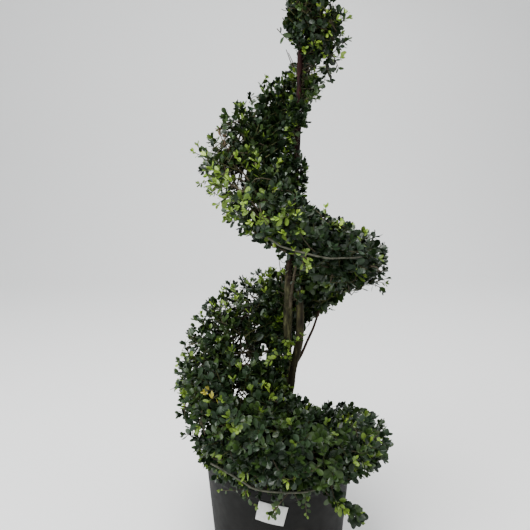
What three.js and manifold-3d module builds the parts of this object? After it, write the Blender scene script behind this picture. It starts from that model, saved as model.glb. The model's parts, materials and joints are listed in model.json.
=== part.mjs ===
// Spiral topiary in a nursery pot: a small-leaved evergreen shrub, trained up one trunk and
// clipped into a coil of foliage that winds down round it.
// Millimetres, +Z up. The origin is the centre of the pot's flat underside, and -Y is the front.

import * as THREE from 'three';
import { mergeVertices } from 'three/addons/utils/BufferGeometryUtils.js';
import Module from 'manifold-3d';

const wasm = await Module();
wasm.setup();

// Driving dimensions

const POT = {
  height: 225,
  baseRadius: 127,
  neckRadius: 141,
  rimRadius: 144.5,
  rimHeight: 19,
  lip: 2.5,
  wall: 3,
  floor: 5,
  sides: 40,
};
const SOIL_TOP = 205;

// A blank sticker on the front of the pot, turned clockwise about its middle. Its bearing is from
// +X, seen from above, and both angles are in degrees.
const LABEL = { width: 51, height: 41, thickness: 0.5, middle: 178, bearing: -96.3, tilt: -12, steps: 6 };

// Clear space between two solids that touch in the real plant, and between a core and a limb
const CONTACT_GAP = 0.35;
const CORE_GAP = 3;

// Limbs: centre line, radius at the foot and at the tip
const TRUNK = {
  path: [[11, 0, 205], [18, -1, 320], [20, 2, 520], [26, 4, 640], [34, 1, 770], [41, -2, 1000], [43, 0, 1076]],
  foot: 10,
  tip: 3.2,
  sides: 10,
  steps: 20,
  flare: 6,
  flareHeight: 26,
  roots: 4,
};
const SECOND_STEM = {
  path: [[15, -1, 290], [23, -3, 345], [31, -3, 398], [39, -4, 435], [42, -2, 480], [40, 0, 548]],
  foot: 8,
  tip: 7,
  sides: 8,
  steps: 8,
};
const THIN_STEM = {
  path: [[34, -1, 396], [45, 8, 410], [59, 24, 434], [72, 40, 456], [85, 60, 488], [91, 68, 508]],
  foot: 2.9,
  tip: 2,
  sides: 6,
  steps: 6,
};

// The coil runs down and anticlockwise seen from above. Turn is in degrees from +X, height is the
// middle of its section, reach is its outer edge from the trunk's line, half is half its thickness.
const COIL = [
  { turn: -110, height: 1014, reach: 34, half: 36 },
  { turn: -40, height: 998, reach: 56, half: 45 },
  { turn: 0, height: 980, reach: 76, half: 38 },
  { turn: 40, height: 968, reach: 76, half: 36 },
  { turn: 60, height: 944, reach: 70, half: 42 },
  { turn: 75, height: 924, reach: 70, half: 44 },
  { turn: 90, height: 892, reach: 92, half: 50 },
  { turn: 110, height: 866, reach: 120, half: 56 },
  { turn: 145, height: 828, reach: 146, half: 60 },
  { turn: 180, height: 785, reach: 164, half: 54 },
  { turn: 225, height: 722, reach: 166, half: 62 },
  { turn: 270, height: 674, reach: 166, half: 50 },
  { turn: 290, height: 650, reach: 168, half: 46 },
  { turn: 380, height: 570, reach: 176, half: 58 },
  { turn: 420, height: 524, reach: 182, half: 70 },
  { turn: 450, height: 488, reach: 188, half: 78 },
  { turn: 500, height: 446, reach: 198, half: 70 },
  { turn: 545, height: 386, reach: 209, half: 70 },
  { turn: 590, height: 338, reach: 213, half: 68 },
  { turn: 640, height: 306, reach: 208, half: 54 },
  { turn: 665, height: 292, reach: 204, half: 50 },
  { turn: 690, height: 268, reach: 200, half: 50 },
  { turn: 775, height: 220, reach: 175, half: 32 },
];
const COIL_MASSES = 13;

// The foliage that hugs the back and left of the trunk above the coil, and the growing tip
const SLEEVE = [
  { turn: -250, height: 1002, reach: 24, half: 40 },
  { turn: -110, height: 1006, reach: 24, half: 40 },
];
const TIP = { base: 1044, top: 1131, reach: 32 };

const SECTION = { inner: 6, power: 2.6, coreInner: 2, coreInset: 14, sides: 10, stepDegrees: 18 };
// Edges shorter than this are merged away
const FINEST = 0.15;

// Clear space from a mass's end planes: for its core, and for the lines of its twigs and leaves
const MASS_GAP = 1.2;
const LEAF_GAP = 3;

// Twigs and leaves. The leaves are about twice life size, so that a few hundred fill the coil.
const STEM = { foot: 2.4, tip: 2, sides: 5 };
const TWIG = { foot: 2.6, tip: 2.1, depth: 11, surfaceEach: 4300, openSide: 150, sides: 3 };
const LEAF = { length: 35, width: 21, thickness: 2.8, widest: 0.56, thickest: 0.25, tries: 10, smallest: 0.62 };

// A sprig that hangs over the rim at the front of the pot, from the tip of its own low bough
const LOW_BOUGH = {
  path: [[16, 0, 236], [46, -44, 250], [86, -92, 260]],
  foot: 4.2,
  tip: 2.6,
  sides: 6,
  steps: 5,
};
const HANGING_SPRIG = {
  path: [[87.2, -93.4, 260], [101, -128, 247], [112, -146, 222], [127, -149, 198], [147, -150, 168]],
  foot: 2.5,
  tip: 1.8,
  sides: 5,
  steps: 7,
  leaves: 11,
  bare: 0.55,
  leafSize: 0.75,
};

const COLOUR = {
  leaf: 0x2f4526,
  bark: 0x6a6350,
  paleBark: 0x5d5a3e,
  pot: 0x3b3937,
  soil: 0x3a2c22,
  label: 0xe4e4e0,
};
const GOLDEN_STEP = 0.618034;
const UP = new THREE.Vector3(0, 0, 1);

// Solids

function toSolid(geometry) {
  geometry.deleteAttribute('normal');
  geometry.deleteAttribute('uv');
  const merged = mergeVertices(geometry);
  return new wasm.Manifold(new wasm.Mesh({
    numProp: 3,
    vertProperties: merged.attributes.position.array,
    triVerts: new Uint32Array(merged.index.array),
  }));
}

function toMesh(name, solid, material) {
  const { vertProperties, triVerts } = solid.getMesh();
  const geometry = new THREE.BufferGeometry();
  geometry.setAttribute('position', new THREE.BufferAttribute(vertProperties, 3));
  geometry.setIndex(new THREE.BufferAttribute(triVerts, 1));
  geometry.computeVertexNormals();
  const mesh = new THREE.Mesh(geometry, material);
  mesh.name = name;
  return mesh;
}

// A closed cylinder of the given sides and steps, each of its points moved by place(along, angle, across)
function bentCylinder(sides, steps, place) {
  const geometry = new THREE.CylinderGeometry(1, 1, 1, sides, steps);
  const position = geometry.attributes.position;
  for (let i = 0; i < position.count; i += 1) {
    const along = position.getY(i) + 0.5;
    const across = Math.hypot(position.getX(i), position.getZ(i));
    const angle = Math.atan2(position.getX(i), position.getZ(i));
    const point = place(along, angle, across);
    position.setXYZ(i, point.x, point.y, point.z);
  }
  return toSolid(geometry);
}

// The largest of the separate bodies in a solid: sealed hollows and loose scraps go
function largestBody(solid) {
  const bodies = solid.decompose();
  bodies.sort((a, b) => b.volume() - a.volume());
  return bodies[0];
}

function cutClear(solid, cutters) {
  return cutters.reduce((rest, cutter) => rest.subtract(cutter), solid);
}

function lathe(points, sides) {
  const outline = points.map(([radius, height]) => new THREE.Vector2(radius, height));
  const geometry = new THREE.LatheGeometry(outline, sides);
  geometry.rotateX(Math.PI / 2);
  return toSolid(geometry);
}

// Numbers that repeat: a seeded generator of values from 0 to 1

function seededRandom(seed) {
  let state = seed;
  return () => {
    state = (Math.imul(state, 1664525) + 1013904223) >>> 0;
    return state / 4294967296;
  };
}

function between(random, low, high) {
  return low + (high - low) * random();
}

// Pot and soil

function wallRadius(height) {
  return THREE.MathUtils.lerp(POT.baseRadius, POT.neckRadius, height / (POT.height - POT.rimHeight));
}

function makePot() {
  const rimFoot = POT.height - POT.rimHeight;
  const outer = [
    [0, 0],
    [POT.baseRadius - 2, 0],
    [POT.baseRadius, 2],
    [POT.neckRadius, rimFoot],
    [POT.neckRadius + POT.lip, rimFoot + 2],
    [POT.rimRadius, POT.height - 1.5],
    [POT.rimRadius - 1.5, POT.height],
  ];
  const inner = [
    [POT.rimRadius - POT.wall, POT.height],
    [POT.neckRadius + POT.lip - POT.wall, rimFoot + 4],
    [POT.neckRadius - POT.wall, rimFoot],
    [wallRadius(POT.floor) - POT.wall, POT.floor],
    [0, POT.floor],
  ];
  return lathe([...outer, ...inner], POT.sides);
}

// Everything that foliage has to keep off: the pot filled up to its rim, a little larger
function makePotClearance() {
  const rim = POT.rimRadius + 1;
  const top = POT.height + 1;
  return lathe([[0, 1], [POT.baseRadius + 1, 1], [rim, top - POT.rimHeight - 3], [rim, top], [0, top]], POT.sides);
}

function makeSoil() {
  const inset = POT.wall + CONTACT_GAP;
  const bottom = POT.floor + CONTACT_GAP;
  return lathe([
    [0, bottom],
    [wallRadius(bottom) - inset, bottom],
    [wallRadius(SOIL_TOP - 3) - inset, SOIL_TOP - 3],
    [wallRadius(SOIL_TOP - 3) - inset - 6, SOIL_TOP],
    [0, SOIL_TOP],
  ], POT.sides);
}

// A thin sheet bent round the pot's wall, a contact gap clear of it
function makeLabel() {
  const tilt = THREE.MathUtils.degToRad(LABEL.tilt);
  const bearing = THREE.MathUtils.degToRad(LABEL.bearing);
  const geometry = new THREE.BoxGeometry(1, 1, 1, LABEL.steps, LABEL.steps, 1);
  const position = geometry.attributes.position;
  for (let i = 0; i < position.count; i += 1) {
    const wide = position.getX(i) * LABEL.width;
    const tall = position.getY(i) * LABEL.height;
    const height = LABEL.middle + wide * Math.sin(tilt) + tall * Math.cos(tilt);
    const around = wide * Math.cos(tilt) - tall * Math.sin(tilt);
    const angle = bearing + around / wallRadius(LABEL.middle);
    const radius = wallRadius(height) + CONTACT_GAP + (position.getZ(i) + 0.5) * LABEL.thickness;
    position.setXYZ(i, radius * Math.cos(angle), radius * Math.sin(angle), height);
  }
  return toSolid(geometry);
}

// Limbs

function curveOf(path) {
  return new THREE.CatmullRomCurve3(path.map((point) => new THREE.Vector3(...point)), false, 'catmullrom');
}

// One tapering limb, or the same limb grown all round to cut clear space for it.
// swell(point, angle) gives what is added to its radius, for a root flare.
function makeLimb(limb, grown, swell) {
  const curve = curveOf(limb.path);
  const frames = curve.computeFrenetFrames(limb.steps);
  return bentCylinder(limb.sides, limb.steps, (along, angle, across) => {
    const step = Math.round(along * limb.steps);
    const centre = curve.getPointAt(step / limb.steps);
    const radius = THREE.MathUtils.lerp(limb.foot, limb.tip, along) + swell(centre, angle) + grown;
    const endwise = (step === limb.steps ? grown : 0) - (step === 0 ? grown : 0);
    return centre
      .addScaledVector(frames.tangents[step], endwise)
      .addScaledVector(frames.normals[step], across * radius * Math.cos(angle))
      .addScaledVector(frames.binormals[step], across * radius * Math.sin(angle));
  });
}

function noSwell() {
  return 0;
}

function rootFlare(point, angle) {
  const rise = Math.exp(-(point.z - SOIL_TOP) / TRUNK.flareHeight);
  return TRUNK.flare * rise * (1 + 0.35 * Math.cos(TRUNK.roots * angle));
}

// The ground plane that the trunk is cut flat on
function belowGround() {
  const height = SOIL_TOP + CONTACT_GAP;
  const block = new THREE.BoxGeometry(200, 200, height);
  block.translate(0, 0, height / 2);
  return toSolid(block);
}

// Where the trunk's line is at a height
const trunkPoints = curveOf(TRUNK.path).getPoints(300);

function trunkAt(height) {
  const above = trunkPoints.findIndex((point) => point.z >= height);
  if (above === 0) return trunkPoints[0].clone().setZ(height);
  if (above < 0) return trunkPoints[trunkPoints.length - 1].clone().setZ(height);
  const low = trunkPoints[above - 1];
  const high = trunkPoints[above];
  return low.clone().lerp(high, (height - low.z) / (high.z - low.z));
}

// Spaces: each mass of foliage keeps to one. at(along, angle, out) gives a point of its section,
// from the middle line (out 0) to the outline (out 1), and holds(point) tells if a point is inside.

function stationAt(stations, turn) {
  const next = Math.max(1, stations.findIndex((station) => station.turn >= turn));
  const from = stations[next - 1];
  const to = stations[next];
  const share = (turn - from.turn) / (to.turn - from.turn);
  return {
    height: THREE.MathUtils.lerp(from.height, to.height, share),
    reach: THREE.MathUtils.lerp(from.reach, to.reach, share),
    half: THREE.MathUtils.lerp(from.half, to.half, share),
  };
}

// Distance from a section's middle to its rounded-square outline, as a share of its half sides
function roundedSquare(angle) {
  const across = Math.abs(Math.cos(angle)) ** SECTION.power;
  const upward = Math.abs(Math.sin(angle)) ** SECTION.power;
  return (across + upward) ** (-1 / SECTION.power);
}

function coilSpace(stations, startTurn, endTurn) {
  const radians = THREE.MathUtils.DEG2RAD;
  const middleTurn = (startTurn + endTurn) / 2;

  function sideOf(point, turn) {
    const axis = trunkAt(point.z);
    return (point.y - axis.y) * Math.cos(turn * radians) - (point.x - axis.x) * Math.sin(turn * radians);
  }

  function sectionPoint(turn, radius, height, shift) {
    const point = trunkAt(height);
    point.x += radius * Math.cos(turn * radians) - shift * Math.sin(turn * radians);
    point.y += radius * Math.sin(turn * radians) + shift * Math.cos(turn * radians);
    return point;
  }

  // A point of the section at a turn, whose half sides are trimmed by an inset
  function at(along, angle, out, inset = 0, inner = SECTION.inner) {
    const turn = THREE.MathUtils.lerp(startTurn, endTurn, along);
    const station = stationAt(stations, turn);
    const outer = Math.max(station.reach - inset, inner + 8);
    const halfAcross = (outer - inner) / 2;
    const halfHeight = Math.max(station.half - inset, 8);
    const size = out * roundedSquare(angle);
    const radius = inner + halfAcross + halfAcross * size * Math.cos(angle);
    const height = station.height + halfHeight * size * Math.sin(angle);
    return sectionPoint(turn, radius, height, THREE.MathUtils.lerp(MASS_GAP, -MASS_GAP, along));
  }

  function holds(point) {
    if (sideOf(point, startTurn) < LEAF_GAP || sideOf(point, endTurn) > -LEAF_GAP) return false;
    if (point.z > TIP.base - LEAF_GAP) return false;
    const axis = trunkAt(point.z);
    const away = Math.atan2(point.y - axis.y, point.x - axis.x) / radians;
    const turn = middleTurn + THREE.MathUtils.euclideanModulo(away - middleTurn + 180, 360) - 180;
    const station = stationAt(stations, THREE.MathUtils.clamp(turn, startTurn, endTurn));
    const halfAcross = (station.reach - SECTION.inner) / 2;
    const radius = Math.hypot(point.x - axis.x, point.y - axis.y);
    const across = Math.abs(radius - SECTION.inner - halfAcross) / halfAcross;
    const upward = Math.abs(point.z - station.height) / station.half;
    return across ** SECTION.power + upward ** SECTION.power <= 1;
  }

  const middle = stationAt(stations, middleTurn);
  const arc = (endTurn - startTurn) * radians * middle.reach * 0.8;
  const surface = arc * (2 * middle.reach + 2 * middle.half);
  const steps = Math.ceil((endTurn - startTurn) / SECTION.stepDegrees);
  const leafSize = THREE.MathUtils.clamp(middle.reach / 140, LEAF.smallest, 1);
  return { at, holds, surface, steps, leafSize, coreInner: SECTION.coreInner, openSide: TWIG.openSide };
}

function tipSpace() {
  function radiusAt(height) {
    const share = (height - TIP.base) / (TIP.top - TIP.base);
    return TIP.reach * Math.sqrt(Math.max(0, 1 - share ** 3)) * Math.min(1, 0.85 + share);
  }

  function at(along, angle, out, inset = 0) {
    const height = THREE.MathUtils.lerp(TIP.base + inset / 3, TIP.top - inset, along);
    const radius = out * Math.max(3, radiusAt(height) - inset * 0.7);
    const point = trunkAt(height);
    point.x += radius * Math.cos(angle);
    point.y -= radius * Math.sin(angle);
    return point;
  }

  function holds(point) {
    if (point.z < TIP.base + LEAF_GAP || point.z > TIP.top) return false;
    const axis = trunkAt(point.z);
    return Math.hypot(point.x - axis.x, point.y - axis.y) <= radiusAt(point.z);
  }

  const surface = 2 * Math.PI * TIP.reach * (TIP.top - TIP.base) * 1.6;
  return { at, holds, surface, steps: 3, leafSize: LEAF.smallest, coreInner: 0, openSide: 180 };
}

// Twigs and leaves

// A straight limb between two points
function makeStick(from, to, foot, tip, sides) {
  const direction = to.clone().sub(from).normalize();
  const turn = new THREE.Quaternion().setFromUnitVectors(UP, direction);
  return bentCylinder(sides, 1, (along, angle, across) => {
    const radius = across * THREE.MathUtils.lerp(foot, tip, along);
    const offset = new THREE.Vector3(radius * Math.cos(angle), radius * Math.sin(angle), 0);
    return from.clone().lerp(to, along).add(offset.applyQuaternion(turn));
  });
}

function makeLeaf(root, direction, facing, size) {
  const geometry = new THREE.OctahedronGeometry(1, 0);
  const position = geometry.attributes.position;
  for (let i = 0; i < position.count; i += 1) {
    const side = Math.round(position.getY(i));
    const face = Math.round(position.getZ(i));
    let lengthwise = (position.getX(i) + 1) / 2;
    if (side !== 0) lengthwise = LEAF.widest;
    if (face !== 0) lengthwise = LEAF.thickest;
    position.setXYZ(i, lengthwise * LEAF.length * size, side * LEAF.width * size / 2, face * LEAF.thickness / 2);
  }
  const across = facing.clone().cross(direction).normalize();
  const normal = direction.clone().cross(across).normalize();
  const pose = new THREE.Matrix4().makeBasis(direction, across, normal).setPosition(root);
  geometry.applyMatrix4(pose);
  return toSolid(geometry);
}

// The points of a leaf that have to stay in its space: along its midrib and at its widest
function leafPoints(root, direction, facing, size) {
  const across = facing.clone().cross(direction).normalize();
  const points = [0.2, 0.4, 0.7, 0.95].map((share) => (
    root.clone().addScaledVector(direction, share * LEAF.length * size)
  ));
  for (const side of [-1, 1]) {
    const widest = root.clone().addScaledVector(direction, LEAF.widest * LEAF.length * size);
    points.push(widest.addScaledVector(across, side * LEAF.width * size / 2));
  }
  return points;
}

// The distance from a point to a limb's surface
const limbLines = [TRUNK, SECOND_STEM, THIN_STEM, LOW_BOUGH, HANGING_SPRIG].map((limb) => ({
  points: curveOf(limb.path).getPoints(60),
  radius: limb.foot,
}));

function clearOfLimbs(point) {
  return limbLines.every(({ points, radius }) => (
    points.every((centre) => centre.distanceTo(point) > radius + 2)
  ));
}

function clearOfPot(point) {
  const overPot = Math.hypot(point.x, point.y) < POT.rimRadius + 3;
  return point.z > POT.height + 2 || !overPot;
}

// A direction that leans away from a twig by up to the given spread
function leaning(direction, spread, random) {
  const jitter = new THREE.Vector3(
    between(random, -1, 1),
    between(random, -1, 1),
    between(random, -0.7, 1),
  );
  return direction.clone().addScaledVector(jitter, spread).normalize();
}

// One leaf on a twig, turned until it fits its space, or none
function tryLeaf(root, direction, outward, spread, size, random, fits) {
  for (let attempt = 0; attempt < LEAF.tries; attempt += 1) {
    const heading = leaning(direction, spread, random);
    const facing = leaning(outward, 0.5, random).addScaledVector(UP, 0.3);
    const points = leafPoints(root, heading, facing, size);
    if (points.every(fits)) return makeLeaf(root, heading, facing, size);
  }
  return null;
}

// The twigs of one mass: they branch from its stem at even steps and turn round it by the golden
// step, and each carries a leaf at its end and a pair below it
function growTwigs(space, random) {
  const pieces = [];
  const size = space.leafSize;
  const count = Math.round(space.surface / (TWIG.surfaceEach * size * size));
  const fits = (point) => space.holds(point) && clearOfLimbs(point) && clearOfPot(point);
  for (let i = 0; i < count; i += 1) {
    const along = (i + between(random, 0.25, 0.75)) / count;
    const share = (i * GOLDEN_STEP + between(random, 0, 0.1)) % 1;
    const angle = THREE.MathUtils.degToRad(THREE.MathUtils.lerp(-space.openSide, space.openSide, share));
    const root = space.at(along, angle, 0);
    const edge = space.at(THREE.MathUtils.clamp(along + between(random, -0.1, 0.1), 0.03, 0.97), angle, 1);
    const outward = edge.clone().sub(root);
    const tip = edge.clone().addScaledVector(outward.normalize(), -between(random, 0.8, 1.2) * TWIG.depth * size);
    if (!fits(tip) || !space.holds(root)) continue;
    const nearTip = tip.clone().addScaledVector(outward, -TWIG.tip);
    const leaves = [tryLeaf(nearTip, outward, outward, 0.7, size, random, fits)];
    const lower = tip.clone().addScaledVector(outward, -TWIG.depth * size * 0.4);
    const across = outward.clone().cross(UP).normalize();
    for (const side of [-1, 1]) {
      const sideways = outward.clone().multiplyScalar(0.45).addScaledVector(across, side).normalize();
      leaves.push(tryLeaf(lower, sideways, outward, 0.6, size, random, fits));
    }
    const grown = leaves.filter((leaf) => leaf !== null);
    if (grown.length > 0) {
      pieces.push(makeStick(root, tip, TWIG.foot, TWIG.tip, TWIG.sides), ...grown);
    }
  }
  return pieces;
}

// A hanging sprig: a bent stem with leaves in two rows, below the stretch that the coil hides
function makeSprig(sprig, random, limbs) {
  const curve = curveOf(sprig.path);
  const pieces = [makeLimb(sprig, 0, noSwell)];
  for (let i = 0; i < sprig.leaves; i += 1) {
    const share = THREE.MathUtils.lerp(sprig.bare, 0.98, i / (sprig.leaves - 1));
    const root = curve.getPoint(share);
    const heading = curve.getTangent(share);
    const outward = new THREE.Vector3(root.x, root.y, 0).normalize();
    const across = heading.clone().cross(outward).normalize();
    const side = i % 2 === 0 ? 1 : -1;
    const aim = heading.clone().addScaledVector(across, side).addScaledVector(outward, 0.4).normalize();
    const leaf = tryLeaf(root, aim, outward, 0.25, sprig.leafSize, random, clearOfPot);
    if (leaf !== null) pieces.push(leaf);
  }
  return largestBody(cutClear(wasm.Manifold.union(pieces), limbs));
}

// Masses

// A core's sections are wound clockwise about its line, which keeps its faces pointing out
function makeCore(space) {
  return bentCylinder(SECTION.sides, space.steps, (along, angle, across) => (
    space.at(along, -angle, across, SECTION.coreInset * space.leafSize, space.coreInner)
  ));
}

// The stem that a mass grows from: it leaves the limb that feeds it and ends in the core
function makeStem(space, foot) {
  const end = space.at(0.5, 0, 0);
  return makeStick(foot, end, STEM.foot, STEM.tip, STEM.sides);
}

function makeMass({ space, foot }, seed, limbs, coreLimbs) {
  const core = largestBody(cutClear(makeCore(space), coreLimbs));
  const pieces = [core, makeStem(space, foot), ...growTwigs(space, seededRandom(seed))];
  return largestBody(cutClear(wasm.Manifold.union(pieces), limbs)).simplify(FINEST);
}

// The masses from the top down, each fed by the trunk a little below its middle
function listMasses() {
  const masses = [];
  const tip = tipSpace();
  masses.push({ name: 'foliage_tip', space: tip, foot: curveOf(TRUNK.path).getPoint(1) });
  const sleeve = coilSpace(SLEEVE, SLEEVE[0].turn, SLEEVE[1].turn);
  masses.push({ name: 'foliage_sleeve', space: sleeve, foot: trunkAt(SLEEVE[1].height + 12) });
  const first = COIL[0].turn;
  const last = COIL[COIL.length - 1].turn;
  for (let i = 0; i < COIL_MASSES; i += 1) {
    const startTurn = THREE.MathUtils.lerp(first, last, i / COIL_MASSES);
    const endTurn = THREE.MathUtils.lerp(first, last, (i + 1) / COIL_MASSES);
    const height = stationAt(COIL, (startTurn + endTurn) / 2).height;
    masses.push({
      name: `foliage_${String(i + 1).padStart(2, '0')}`,
      space: coilSpace(COIL, startTurn, endTurn),
      foot: trunkAt(height - 25),
    });
  }
  return masses;
}

// Assembly

function finish(color, roughness) {
  return new THREE.MeshStandardMaterial({ color, roughness, metalness: 0 });
}

function makeTopiary() {
  const group = new THREE.Group();
  group.name = 'spiral_topiary';
  group.add(toMesh('pot', makePot(), finish(COLOUR.pot, 0.55)));
  group.add(toMesh('soil', makeSoil(), finish(COLOUR.soil, 0.95)));
  group.add(toMesh('label', makeLabel(), finish(COLOUR.label, 0.6)));

  // Each limb grows from the one before it in its chain, and is cut clear of it
  const space = (limb) => makeLimb(limb, CONTACT_GAP, noSwell);
  const trunk = makeLimb(TRUNK, 0, rootFlare).subtract(belowGround());
  const trunkSpace = makeLimb(TRUNK, CONTACT_GAP, rootFlare);
  const stemSpaces = [trunkSpace, space(SECOND_STEM)];
  const grow = (limb, parents) => largestBody(cutClear(makeLimb(limb, 0, noSwell), parents));
  group.add(toMesh('trunk', trunk, finish(COLOUR.bark, 0.85)));
  group.add(toMesh('second_stem', grow(SECOND_STEM, [trunkSpace]), finish(COLOUR.paleBark, 0.8)));
  group.add(toMesh('thin_stem', grow(THIN_STEM, stemSpaces), finish(COLOUR.bark, 0.8)));
  group.add(toMesh('low_bough', grow(LOW_BOUGH, [trunkSpace]), finish(COLOUR.bark, 0.8)));

  const potClearance = makePotClearance();
  const limbs = [...stemSpaces, space(THIN_STEM), space(LOW_BOUGH)];
  const leafFinish = finish(COLOUR.leaf, 0.45);
  const sprig = makeSprig(HANGING_SPRIG, seededRandom(HANGING_SPRIG.leaves), [...limbs, potClearance]);
  group.add(toMesh('hanging_sprig', sprig, leafFinish));

  const massCutters = [...limbs, space(HANGING_SPRIG), potClearance];
  const coreCutters = [makeLimb(TRUNK, CORE_GAP, rootFlare)];
  for (const limb of [SECOND_STEM, THIN_STEM, LOW_BOUGH, HANGING_SPRIG]) {
    coreCutters.push(makeLimb(limb, CORE_GAP, noSwell));
  }
  listMasses().forEach((mass, index) => {
    group.add(toMesh(mass.name, makeMass(mass, index + 1, massCutters, coreCutters), leafFinish));
  });
  return group;
}

export default makeTopiary();
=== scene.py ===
# Looks of the spiral topiary in its nursery pot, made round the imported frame.
# Shapes are worked out in millimetres, as in the source, and turned to metres when a mesh is made.

import json
import math

import bpy
import numpy as np
from mathutils import Matrix, Vector, noise

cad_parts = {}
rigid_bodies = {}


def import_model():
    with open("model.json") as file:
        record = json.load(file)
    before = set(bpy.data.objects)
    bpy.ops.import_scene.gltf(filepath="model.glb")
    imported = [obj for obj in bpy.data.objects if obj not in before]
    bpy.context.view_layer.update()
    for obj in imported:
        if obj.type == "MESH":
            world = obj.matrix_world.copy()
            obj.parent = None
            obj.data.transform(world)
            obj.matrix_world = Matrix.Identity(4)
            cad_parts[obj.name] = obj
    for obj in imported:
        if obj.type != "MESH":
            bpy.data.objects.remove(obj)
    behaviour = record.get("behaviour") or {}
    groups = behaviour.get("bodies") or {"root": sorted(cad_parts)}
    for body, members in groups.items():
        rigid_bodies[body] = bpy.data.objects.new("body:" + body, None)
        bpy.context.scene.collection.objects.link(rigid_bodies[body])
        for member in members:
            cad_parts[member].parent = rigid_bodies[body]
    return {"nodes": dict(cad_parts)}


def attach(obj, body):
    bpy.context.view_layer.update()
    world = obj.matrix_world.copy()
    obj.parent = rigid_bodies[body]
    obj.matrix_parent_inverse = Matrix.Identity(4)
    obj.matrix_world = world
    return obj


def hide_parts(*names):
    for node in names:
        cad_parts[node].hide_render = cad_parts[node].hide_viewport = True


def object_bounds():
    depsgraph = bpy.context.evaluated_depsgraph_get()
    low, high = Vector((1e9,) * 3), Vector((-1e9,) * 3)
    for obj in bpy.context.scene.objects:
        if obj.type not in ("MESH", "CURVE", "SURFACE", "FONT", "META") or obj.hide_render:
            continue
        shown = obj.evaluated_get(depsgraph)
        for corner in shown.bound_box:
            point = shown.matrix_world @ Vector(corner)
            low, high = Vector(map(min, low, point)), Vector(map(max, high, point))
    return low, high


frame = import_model()
cad_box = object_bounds()

MM = 0.001
SEED = 20
GOLDEN_STEP = 0.618034
GOLDEN_ANGLE = math.radians(137.5)
UP = np.array([0.0, 0.0, 1.0])
MASSES = sorted(name for name in frame["nodes"] if name.startswith("foliage_")) + ["hanging_sprig"]

# The camera stood 0.9 m in front of the trunk and looked down at the plant
CAMERA = {
    "place": (-0.0222, -0.9, 0.798),
    "down": math.radians(13.12),
    "roll": math.radians(0.55),
    "focal_px": 510.0,
    "picture_px": 530.0,
    "sensor": 36.0,
}

# The stage in metres: from the floor's front edge it runs level to the bend, then up a curve to the top
STAGE = {"front": -5.0, "bend": 2.0, "curve": 1.2, "top": 4.5, "half_width": 4.0, "steps": 24}

# Lights in metres and watts: name, place, size, power, colour
LIGHTS = [
    ("overhead", (-0.3, -0.5, 2.6), 1.4, 85, (1.0, 0.99, 0.97)),
    ("left", (-2.2, -1.2, 1.6), 1.5, 56, (0.94, 0.97, 1.0)),
    ("right", (2.2, -0.8, 1.9), 1.5, 22, (1.0, 0.98, 0.95)),
    ("back", (0.7, 2.0, 3.0), 1.0, 45, (0.97, 0.98, 1.0)),
    ("front", (-0.5, -2.6, 0.9), 1.8, 8, (1.0, 0.99, 0.97)),
]
LIGHTS_AIM = (0, 0, 0.55)

# Pot and soil, as in the source
POT_HEIGHT = 225
POT_BASE = 127
POT_NECK = 141
POT_RIM = 144.5
RIM_HEIGHT = 19
POT_LIP = 2.5
POT_WALL = 3
POT_FLOOR = 5
SOIL_TOP = 205
SOIL_GAP = 0.6

# Drain holes through the pot's floor: how many, the circle's radius and their own, and the height of
# the cutters' middle and their length
DRAIN_HOLES = 8
DRAIN_CIRCLE = 78
DRAIN_RADIUS = 7
DRAIN_MIDDLE = 3
DRAIN_DEPTH = 20

# The blank label on the pot's front, as in the source; angles in degrees
LABEL = {"width": 51, "height": 41, "middle": 178, "bearing": -96.3, "tilt": -12}
LABEL_STEPS = 14
LABEL_LAYERS = (0.85, 0.35)
LABEL_CURL = 1.2
CURLED_FROM = 0.9

# Limbs: centre line, radius at the foot and at the tip, as in the source
TRUNK = {
    "path": [
        (11, 0, 205), (18, -1, 320), (20, 2, 520), (26, 4, 640), (34, 1, 770), (41, -2, 1000), (43, 0, 1076),
    ],
    "foot": 10,
    "tip": 3.2,
}
SECOND_STEM = {
    "path": [(15, -1, 290), (23, -3, 345), (31, -3, 398), (39, -4, 435), (42, -2, 480), (40, 0, 548)],
    "foot": 8,
    "tip": 7,
}
THIN_STEM = {
    "path": [(34, -1, 396), (45, 8, 410), (59, 24, 434), (72, 40, 456), (85, 60, 488), (91, 68, 508)],
    "foot": 2.9,
    "tip": 2,
}
LOW_BOUGH = {
    "path": [(16, 0, 236), (46, -44, 250), (86, -92, 260)],
    "foot": 4.2,
    "tip": 2.6,
}
FLARE = 6
FLARE_HEIGHT = 26
FLARE_ROOTS = 4
# The trunk's foot is level, this far above the soil's plane
FOOT_GAP = 0.35

# The trunk's bark is olive brown below the first height and dark and reddish above the second
BARK_DARKENS = (535, 605)

# The bark's relief: strands that wind up a limb, in radians per mm, and noise, in cycles per mm
STRAND_TURN = 0.021
STRAND_DRIFT = 0.009
KNOTS = 0.035
GRAIN = (0.55, 0.55, 0.09)
PORES = 1.1

# Stations of the coil and of the sleeve of foliage above it: turn in degrees, height of the middle,
# reach from the trunk's line, half thickness
COIL = [
    (-110, 1014, 34, 36), (-40, 998, 56, 45), (0, 980, 76, 38), (40, 968, 76, 36), (60, 944, 70, 42),
    (75, 924, 70, 44), (90, 892, 92, 50), (110, 866, 120, 56), (145, 828, 146, 60), (180, 785, 164, 54),
    (225, 722, 166, 62), (270, 674, 166, 50), (290, 650, 168, 46), (380, 570, 176, 58), (420, 524, 182, 70),
    (450, 488, 188, 78), (500, 446, 198, 70), (545, 386, 209, 70), (590, 338, 213, 68), (640, 306, 208, 54),
    (665, 292, 204, 50), (690, 268, 200, 50), (775, 220, 175, 32),
]
SLEEVE = [(-250, 1002, 24, 40), (-110, 1006, 24, 40)]
COIL_MASSES = 13
TIP_BASE = 1044
TIP_TOP = 1131
TIP_REACH = 32
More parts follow.
